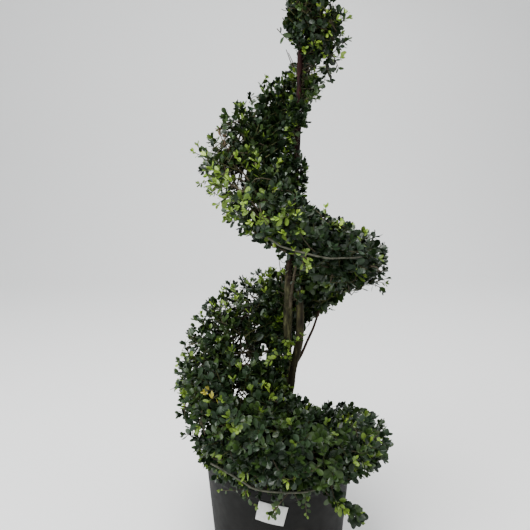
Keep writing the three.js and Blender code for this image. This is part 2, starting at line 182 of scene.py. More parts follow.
# Shoots leave the coil's section at up to this angle in degrees from outward, clear of the trunk's side
COIL_OPEN = 165
SECTION_INNER = 6
SECTION_POWER = 2.6

# Shoots and leaves, at life size
LEAF_LENGTH = 16.5
# Each kind's length as a share of that, its width as a share of its length, its two colours, its
# roughness and its coat
LEAF_KINDS = {
    "dark": (1.0, 0.58, (0.005, 0.013, 0.004), (0.011, 0.026, 0.006), 0.40, 0.03),
    "green": (1.0, 0.57, (0.012, 0.028, 0.005), (0.034, 0.065, 0.013), 0.38, 0.05),
    "bluish": (1.0, 0.60, (0.013, 0.027, 0.012), (0.024, 0.045, 0.019), 0.36, 0.06),
    "bright": (0.92, 0.52, (0.068, 0.120, 0.014), (0.135, 0.210, 0.028), 0.40, 0.05),
    "fresh": (0.95, 0.45, (0.13, 0.23, 0.022), (0.27, 0.38, 0.050), 0.44, 0.03),
    "faded": (1.0, 0.52, (0.20, 0.19, 0.020), (0.34, 0.30, 0.035), 0.45, 0.1),
    "rusty": (1.0, 0.30, (0.050, 0.028, 0.013), (0.115, 0.070, 0.035), 0.55, 0.0),
}
# Rows along a leaf: share of its length, half width as a share of the widest; each row has an edge, a
# midrib and an edge
LEAF_ROWS = [(0.13, 0.30), (0.33, 0.74), (0.56, 1.0), (0.77, 0.92), (0.93, 0.52)]
# How much a leaf's width varies, and how far leaves cup and droop
LEAF_WIDTHS = (0.85, 1.15)
LEAF_CUP = (0.10, 0.34)
LEAF_DROOP = (-0.02, 0.20)
LEAVES_PER_PIECE = 9000
# At a shoot's tip: the leaves that are added, their size, and how far in degrees they and the others open
TUFT = 4
TUFT_SIZE = 0.72
TUFT_OPENING = 34
LEAF_OPENING = 62
TWIG_POINTS = 4
SHOOT_LENGTH = (40, 70)
SHOOT_RADIUS = (0.85, 0.5)
LEAF_SPACING = 4.6
OUTER_SHOOT_AREA = 520
INNER_SHOOT_AREA = 900
TIP_DEPTH = (3, 14)
# In these turns of the coil the leaves are smaller and denser than in the rest
FINE_TURNS = (95, 290)
FINE_LEAVES = 0.93
FINE_DENSITY = 1.3
# Some shoots end within this distance of the outline; the inner ones end at a share of the way to it
STRAY_SHARE = 0.07
STRAY_REACH = 4
INNER_DEPTH = (0.35, 0.75)
# How far shoots lean from outward at random, and how far they bend as a share of their length
SHOOT_LEAN = 0.62
SHOOT_BEND = 0.05
TWIG_RADIUS = (1.7, 0.95)
# Masses that reach less far than this have smaller shoots; leaves grow with the reach as well
FULL_REACH = 110
LEAF_SIZES = (0.92, 1.08)
SURFACE_TWIGS = 110

# Where fresh yellow-green growth shows: turn, section angle, spread in mm, chance
FRESH_SPOTS = [
    (0, 0, 60, 0.45), (40, 10, 40, 0.30), (188, 0, 40, 0.22), (206, 5, 38, 0.40), (222, 12, 42, 0.50),
    (238, 12, 38, 0.50), (258, -10, 42, 0.40), (330, 75, 45, 0.35), (372, 40, 35, 0.40), (362, 0, 32, 0.30),
    (470, 75, 50, 0.45), (505, 50, 60, 0.45), (535, 10, 60, 0.30), (560, -20, 50, 0.15), (640, 60, 60, 0.15),
    (692, 80, 55, 0.50),
]
FRESH_ELSEWHERE = 0.06

# Painted shade: where more leaves are dark than elsewhere, for shade on the foliage: turn, section angle,
# reach in mm
SHADED_LEAF_SPOTS = [(312, 0, 120), (-30, 0, 80)]

# Where the foliage stands out further than its plain outline, or less far where the rise is below
# zero: turn, section angle, spread and rise in mm
BULGES = [
    (28, -60, 40, 12), (55, -45, 35, 16), (75, -30, 30, 10), (490, 55, 55, 14), (515, 40, 45, 8),
    (118, 50, 45, 6), (150, 50, 40, 5), (-180, 0, 55, -12), (372, -42, 48, -18), (362, -20, 30, -9),
]

# Gaps that let the sky through, as lines of sight: each crosses the plane of the trunk at x and z,
# and thins the foliage within a radius in mm to a share
SKY_GAPS = [
    (-62, 752, 11, 0.05), (-70, 730, 8, 0.15), (-94, 802, 10, 0.15), (-40, 690, 9, 0.25),
    (-100, 700, 10, 0.25), (-62, 812, 5, 0.20), (-72, 448, 12, 0.05), (-69, 419, 10, 0.05),
    (-58, 402, 8, 0.15), (-28, 408, 7, 0.20), (-79, 341, 7, 0.12), (-65, 335, 7, 0.12),
    (-40, 470, 10, 0.25), (-44, 526, 8, 0.20), (-57, 495, 7, 0.25), (-25, 430, 9, 0.25),
    (60, 925, 10, 0.25), (48, 850, 8, 0.30), (5, 588, 10, 0.05), (52, 626, 5, 0.30), (24, 953, 7, 0.05),
    (26, 941, 6, 0.05),
]
GAP_EDGE = 4

# Lines of sight to the stems, with nothing much in front of them
STEM_VIEWS = [
    (24, 604, 9, 0.10), (22, 588, 10, 0.03), (22, 572, 10, 0.03), (22, 556, 10, 0.03), (21, 540, 10, 0.03),
    (21, 520, 10, 0.03), (21, 500, 10, 0.03), (20, 480, 10, 0.05), (20, 462, 9, 0.15), (42, 500, 9, 0.15),
    (42, 480, 9, 0.05), (42, 462, 8, 0.20), (34, 410, 7, 0.40), (25, 387, 7, 0.25), (22, 372, 7, 0.25),
    (20, 352, 7, 0.30), (18, 331, 6, 0.40), (38, 905, 5, 0.30), (37, 890, 5, 0.30), (37, 875, 5, 0.30),
    (38, 920, 6, 0.50), (36, 822, 6, 0.20), (36, 808, 6, 0.12), (36, 795, 6, 0.12), (35, 780, 6, 0.20),
]
STEM_FRONT = -8

# Short leafy shoots on the stems themselves: heights, turns, count, length
STEM_TUFTS = [
    ((662, 870), (185, 275), 90, 14), ((690, 770), (-60, 30), 30, 11), ((824, 862), (225, 330), 16, 12),
    ((946, 972), (230, 320), 10, 12), ((832, 870), (-50, 30), 12, 9), ((870, 955), (-55, 50), 44, 30),
    ((968, 1045), (120, 300), 24, 11), ((515, 570), (-110, -20), 16, 30), ((320, 450), (180, 285), 54, 24),
    ((455, 545), (40, 150), 30, 34), ((565, 620), (180, 330), 16, 16),
]

# Shoots that lean out over the pot's rim at the front: turns, heights of the tips, count
RIM_SHOOTS = [((552, 705), (242, 258), 120), ((575, 700), (224, 240), 46)]

# Boughs that show along the lower edge of the coil: one just above the pot's rim, one on the right
# below the coil's second turn
RIM_BOUGH = {
    "path": [
        (-119, -118, 264), (-101, -130, 262), (-83, -142, 259), (-64, -152, 253), (-43, -158, 243),
        (-8, -163, 240), (38, -160, 237), (69, -150, 238), (102, -130, 233), (122, -117, 222),
    ],
    "foot": 2.0,
    "tip": 1.7,
}
ARCH_BOUGH = {
    "path": [
        (-17, -130, 661), (-5, -140, 655), (5, -146, 650), (38, -156, 642), (71, -150, 633),
        (97, -136, 630), (119, -118, 626), (143, -92, 623),
    ],
    "foot": 1.8,
    "tip": 1.2,
}
# Leaves in front of those boughs, within this distance in mm of the line of sight, are thinned to a share
BOUGH_VIEW = 3.5
BOUGH_SHARE = 0.5

# Boughs trained along the coil inside the foliage: out, section angle, radius
INNER_RUNNERS = [(0.42, -50, 2.6), (0.35, 35, 2.2), (0.6, -100, 1.8), (0.55, 0, 2.0)]
RUNNER_STEPS = 16

# Others that show between the leaves near the outline: turns at both ends, section angle, out, radius
OUTER_RUNNERS = [
    (250, 292, -52, 0.93, 1.9),
    (318, 362, -20, 0.95, 1.6),
    (545, 612, -50, 0.95, 1.9),
    (160, 205, -70, 0.95, 1.5),
]

# Shoots that stand out from the coil: foot, tip, kinds of leaves
LOOSE_SHOOTS = [
    ((-116, 0, 778), (-143, 0, 789), "bright", "fresh"),
    ((-110, -10, 745), (-134, -6, 735), "bright", "bright"),
    ((-120, -5, 765), (-136, 4, 800), "green", "bright"),
    ((-60, -60, 696), (-84, -62, 686), "bright", "fresh"),
    ((-72, -70, 720), (-98, -74, 708), "bright", "fresh"),
    ((168, 0, 556), (196, -4, 553), "green", "bright"),
    ((166, -6, 552), (190, -10, 541), "green", "dark"),
    ((176, -4, 555), (199, -8, 563), "dark", "green"),
    ((82, 0, 936), (117, 0, 967), "dark", "green"),
    ((97, -4, 986), (111, 0, 1006), "bright", "fresh"),
    ((102, 0, 988), (117, 0, 1000), "green", "bright"),
    ((70, -26, 984), (77, -36, 999), "bright", "fresh"),
    ((67, -28, 990), (66, -38, 1006), "bright", "fresh"),
    ((58, -24, 950), (62, -32, 957), "bright", "fresh"),
    ((82, 0, 930), (90, 0, 907), "dark", "dark"),
    ((92, 0, 944), (103, 0, 924), "dark", "green"),
    ((82, 56, 478), (106, 60, 483), "dark", "green"),
    ((-86, -18, 790), (-95, -30, 822), "rusty", "rusty"),
    ((-80, -20, 782), (-87, -30, 812), "rusty", "rusty"),
    ((-26, 86, 900), (-18, 90, 919), "green", "bright"),
    ((-66, 58, 836), (-88, 60, 851), "dark", "bright"),
    ((130, -100, 640), (136, -106, 662), "bright", "fresh"),
    ((64, -128, 684), (70, -134, 706), "bright", "fresh"),
    ((-150, -60, 282), (-172, -66, 288), "green", "green"),
    ((-186, 0, 352), (-206, -4, 346), "green", "faded"),
    ((-112, -108, 396), (-124, -120, 400), "faded", "faded"),
    ((-104, -112, 390), (-118, -124, 386), "faded", "bright"),
    ((14, -28, 424), (18, -40, 436), "bright", "fresh"),
    ((8, -28, 424), (-4, -40, 428), "bright", "fresh"),
    ((-4, -28, 420), (-18, -40, 416), "bright", "bright"),
    ((20, -18, 430), (26, -26, 444), "bright", "bright"),
    ((26, -18, 436), (34, -26, 452), "bright", "fresh"),
    ((34, -14, 446), (44, -24, 462), "green", "bright"),
    ((24, -150, 640), (21, -157, 648), "bright", "fresh"),
    ((31, -154, 637), (41, -162, 636), "bright", "bright"),
    ((34, -146, 628), (41, -153, 620), "bright", "fresh"),
]

# Thin twigs with no leaves: foot and tip
BARE_TWIGS = [
    ((9, 4, 552), (2, 10, 612)), ((27, 0, 925), (16, 0, 953)), ((30, 0, 925), (20, 2, 948)),
    ((-96, -18, 770), (-84, -40, 812)), ((-100, -10, 778), (-93, -30, 806)),
]

# A fork of the trunk that climbs into the coil
FORK = {"path": [(23, -3, 508), (26, -8, 540), (31, -11, 575), (38, -14, 610)], "foot": 3.4, "tip": 2.2}


# Numbers and curves

def smooth_path(points, count):
    """Points of the smooth curve through the given ones, as in the source."""
    p = np.array(points, float)
    ends = np.vstack([2 * p[0] - p[1], p, 2 * p[-1] - p[-2]])
    t = np.linspace(0, len(p) - 1, count)
    i = np.minimum(t.astype(int), len(p) - 2)
    w = (t - i)[:, None]
    a, b, c, d = ends[i], ends[i + 1], ends[i + 2], ends[i + 3]
    return b + 0.5 * w * (c - a + w * (2 * a - 5 * b + 4 * c - d + w * (3 * (b - c) + d - a)))


def unit(v):
    return v / np.maximum(np.linalg.norm(v, axis=-1, keepdims=True), 1e-9)


def lerp(a, b, share):
    return a + (b - a) * share


def clamp(share):
    return min(1, max(0, share))


TRUNK_LINE = smooth_path(TRUNK["path"], 300)


def trunk_at(height):
    """The trunk's centre line at a height."""
    x = np.interp(height, TRUNK_LINE[:, 2], TRUNK_LINE[:, 0])
    y = np.interp(height, TRUNK_LINE[:, 2], TRUNK_LINE[:, 1])
    return np.array([x, y, height])


# Spaces: each mass of foliage has one. at(along, angle, out) gives a point of its section,
# from the middle line (out 0) to the outline (out 1).

def rounded_square(angle):
    across = abs(math.cos(angle)) ** SECTION_POWER
    upward = abs(math.sin(angle)) ** SECTION_POWER
    return (across + upward) ** (-1 / SECTION_POWER)


class CoilSpace:
    def __init__(self, stations, start, end):
        self.stations = np.array(stations, float)
        self.start = start
        self.end = end
        self.open_side = COIL_OPEN
        _, reach, half = self.station((start + end) / 2)
        arc = math.radians(end - start) * reach * 0.8
        self.surface = arc * (2 * reach + 2 * half)
        self.fine = FINE_TURNS[0] < (start + end) / 2 < FINE_TURNS[1]
        if self.fine:
            self.surface *= FINE_DENSITY
        self.reach = reach

    def station(self, turn):
        return [np.interp(turn, self.stations[:, 0], self.stations[:, i]) for i in (1, 2, 3)]

    def at(self, along, angle, out):
        turn = lerp(self.start, self.end, along)
        height, reach, half = self.station(turn)
        half_across = (reach - SECTION_INNER) / 2
        size = out * rounded_square(angle)
        radius = SECTION_INNER + half_across + half_across * size * math.cos(angle)
        point = trunk_at(height + half * size * math.sin(angle))
        point[0] += radius * math.cos(math.radians(turn))
        point[1] += radius * math.sin(math.radians(turn))
        return point


class TipSpace:
    def __init__(self):
        self.open_side = 180
        self.fine = False
        self.surface = 2 * math.pi * TIP_REACH * (TIP_TOP - TIP_BASE) * 1.6
        self.reach = TIP_REACH

    def at(self, along, angle, out):
        height = lerp(TIP_BASE, TIP_TOP, along)
        radius = out * TIP_REACH * math.sqrt(max(0, 1 - along ** 3)) * min(1, 0.85 + along)
        point = trunk_at(height)
        point[0] += radius * math.cos(angle)
        point[1] -= radius * math.sin(angle)
        return point


def coil_point(turn, angle_degrees, out):
    """A point of the coil by its turn."""
    space = CoilSpace(COIL, turn, turn + 1)
    return space.at(0, math.radians(angle_degrees), out)


def list_spaces():
    spaces = [TipSpace(), CoilSpace(SLEEVE, SLEEVE[0][0], SLEEVE[1][0])]
    first, last = COIL[0][0], COIL[-1][0]
    for i in range(COIL_MASSES):
        start = lerp(first, last, i / COIL_MASSES)
        spaces.append(CoilSpace(COIL, start, start + (last - first) / COIL_MASSES))
    return spaces


# Meshes

def make_piece(name, points, quads, triangles, material, replaced):
    """A mesh piece of the plant from arrays in millimetres."""
    mesh = bpy.data.meshes.new(name)
    quads = np.asarray(quads, np.int32).reshape(-1, 4)
    triangles = np.asarray(triangles, np.int32).reshape(-1, 3)
    corners = np.concatenate([quads.ravel(), triangles.ravel()])
    sizes = np.concatenate([np.full(len(quads), 4), np.full(len(triangles), 3)])
    starts = np.concatenate([[0], np.cumsum(sizes)[:-1]]).astype(np.int32)
    mesh.vertices.add(len(points))
    mesh.vertices.foreach_set("co", (np.asarray(points) * MM).astype(np.float32).ravel())
    mesh.loops.add(len(corners))
    mesh.loops.foreach_set("vertex_index", corners)
    mesh.polygons.add(len(sizes))
    mesh.polygons.foreach_set("loop_start", starts)
    mesh.update(calc_edges=True)
    mesh.polygons.foreach_set("use_smooth", np.full(len(sizes), True))
    mesh.materials.append(material)
    piece = bpy.data.objects.new(name, mesh)
    bpy.context.collection.objects.link(piece)
    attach(piece, "root")
    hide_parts(*replaced)
    return piece


def tube_frames(paths):
    """Two directions across each path, for an array of shape (paths, points, 3)."""
    along = unit(np.gradient(paths, axis=1))
    mean = unit(paths[:, -1] - paths[:, 0])
    side = np.where(np.abs(mean[:, 2:3]) > 0.8, np.array([0.0, 1.0, 0.0]), UP)
    first = unit(np.cross(along, side[:, None, :]))
    return first, np.cross(along, first)


def ring_quads(rings, sides):
    """Quads between rings of points that follow each other."""
    i, j = np.meshgrid(np.arange(rings - 1), np.arange(sides), indexing="ij")
    a = (i * sides + j).ravel()
    b = (i * sides + (j + 1) % sides).ravel()
    return np.stack([a, b, b + sides, a + sides], 1)


def tube_arrays(paths, radii, sides):
    """Points and quads of open-ended tubes along the paths, tapering by the radii."""
    count, steps = paths.shape[:2]
    first, second = tube_frames(paths)
    angles = np.arange(sides) * 2 * math.pi / sides
    ring = first[:, :, None] * np.cos(angles)[:, None] + second[:, :, None] * np.sin(angles)[:, None]
    points = paths[:, :, None] + ring * radii[:, :, None, None]
    base = np.arange(count)[:, None, None] * steps * sides
    return points.reshape(-1, 3), (ring_quads(steps, sides)[None] + base).reshape(-1, 4)


def tube_caps(steps, sides):
    """Fans that close both ends of one tube, as triangles on its first and last rings."""
    last = (steps - 1) * sides
    triangles = []
    for k in range(1, sides - 1):
        triangles.append((0, k + 1, k))
        triangles.append((last, last + k, last + k + 1))
    return triangles


def stack_faces(rings, sides, from_top=False):
    """Quads and end fans for rings that lie between a first and a last point on the axis."""
    quads = 1 + ring_quads(rings, sides)
    last = 1 + (rings - 1) * sides
    fans = []
    for j in range(sides):
        k = (j + 1) % sides
        fans.append((0, 1 + k, 1 + j))
        fans.append((last + sides, last + j, last + k))
    fans = np.array(fans)
    if from_top:
        return quads[:, [0, 3, 2, 1]], fans[:, [0, 2, 1]]
    return quads, fans


# Materials

# A Mix node has sockets of the same name for each type; these are the places of the colours
MIX_COLOR_A = 6
MIX_COLOR_B = 7
MIX_COLOR = 2


def shader_of(material):
    return material.node_tree.nodes["Principled BSDF"]


def set_values(node, values):
    for name, value in values.items():
        node.inputs[name].default_value = value


def new_material(name, color, roughness, **values):
    """A material with its colour, roughness and other values, named with underscores for spaces."""
    material = bpy.data.materials.new(name)
    material.use_nodes = True
    set_values(shader_of(material), {"Base Color": (*color, 1), "Roughness": roughness})
    set_values(shader_of(material), {key.replace("_", " "): value for key, value in values.items()})
    return material


def add_node(material, kind, values=None):
    """A new node of a kind, with values on its inputs."""
    node = material.node_tree.nodes.new("ShaderNode" + kind)
    set_values(node, values or {})
    return node


def join(material, output, node, name):
    """Wires an output to the input of a node."""
    material.node_tree.links.new(output, node.inputs[name])


def object_noise(material, scale, detail, stretch=(1, 1, 1)):
    """Noise in the object's own coordinates, in cycles per metre."""
    place = add_node(material, "TexCoord")
    mapping = add_node(material, "Mapping", {"Scale": stretch})
    texture = add_node(material, "TexNoise", {"Scale": scale, "Detail": detail})
    join(material, place.outputs["Object"], mapping, "Vector")
    join(material, mapping.outputs["Vector"], texture, "Vector")
    return texture.outputs["Fac"]


def color_by(material, factor, stops):
    """A colour ramp driven by a factor and wired to the base colour."""
    ramp = add_node(material, "ValToRGB")
    elements = ramp.color_ramp.elements
    while len(elements) < len(stops):
        elements.new(0.5)
    for element, (place, color) in zip(elements, stops):
        element.position = place
        element.color = (*color, 1)
    join(material, factor, ramp, "Fac")
    join(material, ramp.outputs["Color"], shader_of(material), "Base Color")
    return ramp.outputs["Color"]


def bump_by(material, factor, strength, distance):
    bump = add_node(material, "Bump", {"Strength": strength, "Distance": distance})
    join(material, factor, bump, "Height")
    join(material, bump.outputs["Normal"], shader_of(material), "Normal")


def roughness_by(material, factor, low, high):
    spread = add_node(material, "MapRange", {"To Min": low, "To Max": high})
    join(material, factor, spread, "Value")
    join(material, spread.outputs["Result"], shader_of(material), "Roughness")


def leaf_material(name, dark, light, roughness, coat):
    """Glossy leaves whose colour drifts a little over the plant."""
    material = new_material(
        name, light, roughness, Coat_Weight=coat, Coat_Roughness=0.28, Specular_IOR_Level=0.28
    )
    color_by(material, object_noise(material, 38, 3), [(0.35, dark), (0.65, light)])
    bump_by(material, object_noise(material, 420, 2), 0.25, 0.0006)
    return material


def bark_material(name, scale, stops, stretch=(1, 1, 1)):
    material = new_material(name, stops[0][1], 0.8, Specular_IOR_Level=0.15)
    color_by(material, object_noise(material, scale, 6, stretch), stops)
    bump_by(material, object_noise(material, scale * 3, 4, stretch), 0.5, 0.0008)
    return material


def trunk_material():
    """Olive brown bark below that turns dark and reddish above the middle of the plant."""
    low = [(0.32, (0.007, 0.006, 0.003)), (0.5, (0.030, 0.029, 0.012)), (0.68, (0.092, 0.090, 0.042))]
    high = [(0.38, (0.002, 0.001, 0.001)), (0.62, (0.028, 0.0085, 0.0075))]
    material = bark_material("trunk_bark", 170, low, (1, 1, 0.35))
    low_color = shader_of(material).inputs["Base Color"].links[0].from_socket
    high_color = color_by(material, object_noise(material, 200, 5, (1, 1, 0.25)), high)
    start, end = BARK_DARKENS
    place = add_node(material, "TexCoord")
    split = add_node(material, "SeparateXYZ")
    rise = add_node(material, "MapRange", {"From Min": start * MM, "From Max": end * MM})
    mix = add_node(material, "Mix")
    mix.data_type = "RGBA"
    join(material, place.outputs["Object"], split, "Vector")
    join(material, split.outputs["Z"], rise, "Value")
    join(material, rise.outputs["Result"], mix, "Factor")
    join(material, low_color, mix, MIX_COLOR_A)
    join(material, high_color, mix, MIX_COLOR_B)
    join(material, mix.outputs[MIX_COLOR], shader_of(material), "Base Color")
    return material


def pot_material():
    material = new_material("pot_plastic", (0.020, 0.020, 0.017), 0.6, Specular_IOR_Level=0.16)
    plain = [(0.3, (0.0018, 0.0018, 0.0014)), (0.62, (0.0034, 0.0034, 0.0027))]
    scuffed = (0.8, (0.016, 0.0145, 0.010))
    color_by(material, object_noise(material, 24, 8), [*plain, scuffed])
    roughness_by(material, object_noise(material, 60, 5), 0.55, 0.8)
    bump_by(material, object_noise(material, 900, 3), 0.12, 0.0004)
    return material


def soil_material():
    material = new_material("soil", (0.03, 0.02, 0.013), 0.95)
    stops = [(0.3, (0.010, 0.007, 0.005)), (0.55, (0.035, 0.022, 0.014)), (0.75, (0.10, 0.065, 0.04))]
    color_by(material, object_noise(material, 130, 8), stops)
    bump_by(material, object_noise(material, 300, 6), 0.8, 0.002)
    return material


def label_material():
    material = new_material("label_paper", (0.72, 0.72, 0.70), 0.6)
    stops = [(0.3, (0.46, 0.46, 0.44)), (0.7, (0.58, 0.58, 0.56))]
    color_by(material, object_noise(material, 160, 5), stops)
    bump_by(material, object_noise(material, 90, 3), 0.2, 0.0006)
    return material


LEAF_MATERIALS = {kind: leaf_material("leaf_" + kind, *looks[2:]) for kind, looks in LEAF_KINDS.items()}
TWIG_BARK = bark_material("twig_bark", 90, [(0.3, (0.020, 0.016, 0.009)), (0.7, (0.075, 0.062, 0.038))])
SHOOT_BARK = bark_material("shoot_bark", 90, [(0.3, (0.026, 0.034, 0.010)), (0.7, (0.070, 0.070, 0.025))])
STEM_BARK = bark_material(
    "stem_bark", 150,
    [(0.28, (0.008, 0.006, 0.003)), (0.52, (0.024, 0.021, 0.009)), (0.75, (0.075, 0.070, 0.028))],
    (1, 1, 0.30),
)
BOUGH_BARK = bark_material("bough_bark", 110, [(0.3, (0.034, 0.036, 0.026)), (0.7, (0.100, 0.100, 0.072))])
DARK_BARK = bark_material(
    "dark_bark", 180, [(0.3, (0.014, 0.009, 0.006)), (0.7, (0.050, 0.030, 0.020))], (1, 1, 0.25)
)
TRUNK_BARK = trunk_material()


# Camera, light and stage

def place_camera():
    data = bpy.data.cameras.new("camera")
    camera = bpy.data.objects.new("camera", data)
    bpy.context.collection.objects.link(camera)
    bpy.context.scene.camera = camera
    data.sensor_width = CAMERA["sensor"]
    data.sensor_fit = "HORIZONTAL"
    data.lens = CAMERA["sensor"] * CAMERA["focal_px"] / CAMERA["picture_px"]
    data.clip_start = 0.02
    forward = Vector((0, math.cos(CAMERA["down"]), -math.sin(CAMERA["down"])))
    level = Vector((1, 0, 0))
    up = level.cross(forward)
    c, s = math.cos(CAMERA["roll"]), math.sin(CAMERA["roll"])
    right = c * level - s * up
    up = s * level + c * up
    turned = Matrix((right, up, -forward)).transposed()
    camera.matrix_world = Matrix.Translation(CAMERA["place"]) @ turned.to_4x4()


def add_light(name, place, size, power, color):
    data = bpy.data.lights.new(name, "AREA")
    data.shape = "DISK"
    data.size = size
    data.energy = power
    data.color = color
    light = bpy.data.objects.new(name, data)
    light.location = place
    light.rotation_euler = (Vector(LIGHTS_AIM) - Vector(place)).to_track_quat("-Z", "Y").to_euler()
    bpy.context.collection.objects.link(light)


def make_stage():
    """A pale floor and a pale wall far behind, joined by a wide curve."""
    curve = STAGE["curve"]
    profile = [(STAGE["front"], 0.0), (STAGE["bend"], 0.0)]
    for i in range(1, STAGE["steps"] + 1):
        a = math.radians(90 * i / STAGE["steps"])
        profile.append((STAGE["bend"] + curve * math.sin(a), curve - curve * math.cos(a)))
    profile.append((STAGE["bend"] + curve, STAGE["top"]))
    verts = [(x, y, z) for x in (-STAGE["half_width"], STAGE["half_width"]) for y, z in profile]
    n = len(profile)
    faces = [(i, i + 1, n + i + 1, n + i) for i in range(n - 1)]
    mesh = bpy.data.meshes.new("stage")
    mesh.from_pydata(verts, [], faces)
    mesh.polygons.foreach_set("use_smooth", [True] * len(faces))
    mesh.materials.append(new_material("stage_paint", (0.81, 0.81, 0.80), 0.7))
    stage = bpy.data.objects.new("stage", mesh)
    bpy.context.collection.objects.link(stage)


def make_light():
    world = bpy.data.worlds.new("studio")
    bpy.context.scene.world = world
    world.use_nodes = True
    set_values(world.node_tree.nodes["Background"], {"Color": (0.93, 0.96, 1.0, 1), "Strength": 0.76})
    for light in LIGHTS:
        add_light(*light)


# Trunk and limbs

def limb_mesh(name, limb, sides, steps, relief, material, replaced, flare=0.0):
    """A limb with the bark's relief: strands that wind up it, swellings and fine grain."""
    path = smooth_path(limb["path"], steps)[None]
    first, second = tube_frames(path)
    lengths = np.concatenate([[0], np.cumsum(np.linalg.norm(np.diff(path[0], axis=0), axis=1))])
    share = lengths / lengths[-1]
    points = []
    for i in range(steps):
        centre = path[0, i]
        plain = lerp(limb["foot"], limb["tip"], share[i])
        rise = flare * math.exp(-(centre[2] - SOIL_TOP) / FLARE_HEIGHT)
        for angle in np.arange(sides) * 2 * math.pi / sides:
            wind = angle + lengths[i] * STRAND_TURN
            strands = 0.5 * math.cos(2 * wind) + 0.35 * math.cos(3 * wind - lengths[i] * STRAND_DRIFT)
            aim = first[0, i] * math.cos(angle) + second[0, i] * math.sin(angle)
            spot = Vector(centre + aim * plain)
            knots = noise.noise(spot * KNOTS)
            grain = noise.noise(Vector((spot.x * GRAIN[0], spot.y * GRAIN[1], spot.z * GRAIN[2])))
            pores = noise.noise(spot * PORES)
            radius = plain * (1 + relief * (0.55 * strands + knots + 0.6 * grain + 0.25 * pores))
            radius += rise * (1 + 0.35 * math.cos(FLARE_ROOTS * angle))
            points.append(centre + aim * radius)
    points = np.array(points)
    if flare:
        points[:sides, 2] = SOIL_TOP + FOOT_GAP
    make_piece(name, points, ring_quads(steps, sides), tube_caps(steps, sides), material, (replaced,))


def make_limbs():
    limb_mesh("trunk_bark", TRUNK, 40, 520, 0.20, TRUNK_BARK, "trunk", FLARE)
    limb_mesh("second_stem_bark", SECOND_STEM, 28, 160, 0.13, STEM_BARK, "second_stem")
    limb_mesh("thin_stem_bark", THIN_STEM, 16, 90, 0.10, DARK_BARK, "thin_stem")
    limb_mesh("low_bough_bark", LOW_BOUGH, 16, 70, 0.12, DARK_BARK, "low_bough")


# Pot, soil and label

def wall_radius(height):
    return lerp(POT_BASE, POT_NECK, height / (POT_HEIGHT - RIM_HEIGHT))


def arc_points(centre, radius, start, end, steps):
    turns = np.radians(np.linspace(start, end, steps))
    return [(centre[0] + radius * math.cos(t), centre[1] + radius * math.sin(t)) for t in turns]


def ring(radius, height, sides):
    angles = np.arange(sides) * 2 * math.pi / sides
    return [(radius * math.cos(a), radius * math.sin(a), height) for a in angles]


def revolve(profile, sides):
    """Points of a profile that starts and ends on the axis, turned round it."""
    points = [(0, 0, profile[0][1])]
    for radius, height in profile[1:-1]:
        points.extend(ring(radius, height, sides))
    return np.array(points + [(0, 0, profile[-1][1])], float)


def pot_profile():
    """The pot's section from the middle of its underside, over the rim, to the middle of its floor."""
    rim_foot = POT_HEIGHT - RIM_HEIGHT
    rim_start, rim_end = rim_foot + 1.8, POT_HEIGHT - 2
    profile = [(0, 0), (POT_BASE - 14, 0)]
    profile += arc_points((POT_BASE - 3.4, 3), 3, -90, -6, 6)
    for height in np.linspace(12, rim_foot - 6, 16):
        profile.append((wall_radius(height), height))
    profile += [(POT_NECK - 0.4, rim_foot - 1.5), (POT_NECK + 0.4, rim_foot - 0.2)]
    profile += [(POT_NECK + POT_LIP - 1.2, rim_foot + 0.6), (POT_NECK + POT_LIP, rim_start)]
    for share in (0.2, 0.4, 0.6, 0.8):
        profile.append((lerp(POT_NECK + POT_LIP, POT_RIM, share), lerp(rim_start, rim_end, share)))
    profile += arc_points((POT_RIM - POT_WALL / 2, POT_HEIGHT - POT_WALL / 2), POT_WALL / 2, 10, 170, 9)
    profile += [(POT_NECK + POT_LIP - POT_WALL, rim_foot + 4), (POT_NECK - POT_WALL, rim_foot)]
    for height in np.linspace(rim_foot - 14, POT_FLOOR + 2, 8):
        profile.append((wall_radius(height) - POT_WALL, height))
    profile += [(wall_radius(POT_FLOOR) - POT_WALL - 2, POT_FLOOR), (0, POT_FLOOR)]
    return profile


def make_pot():
    profile, sides = pot_profile(), 144
    quads, fans = stack_faces(len(profile) - 2, sides)
    points = revolve(profile, sides)
    pot = make_piece("pot_shell", points, quads, fans, pot_material(), ("pot",))
    holes = bpy.data.collections.new("drain_holes")
    for i in range(DRAIN_HOLES):
        angle = 2 * math.pi * (i + 0.5) / DRAIN_HOLES
        place = (DRAIN_CIRCLE * MM * math.cos(angle), DRAIN_CIRCLE * MM * math.sin(angle), DRAIN_MIDDLE * MM)
        bpy.ops.mesh.primitive_cylinder_add(
            vertices=24, radius=DRAIN_RADIUS * MM, depth=DRAIN_DEPTH * MM, location=place
        )
        holes.objects.link(bpy.context.object)
    cut = pot.modifiers.new("drain_holes", "BOOLEAN")
    cut.operand_type = "COLLECTION"
    cut.collection = holes
    cut.solver = "EXACT"
    bpy.context.view_layer.objects.active = pot
    bpy.ops.object.modifier_apply(modifier=cut.name)
    for cutter in list(holes.objects):
        bpy.data.objects.remove(cutter, do_unlink=True)
    bpy.data.collections.remove(holes)


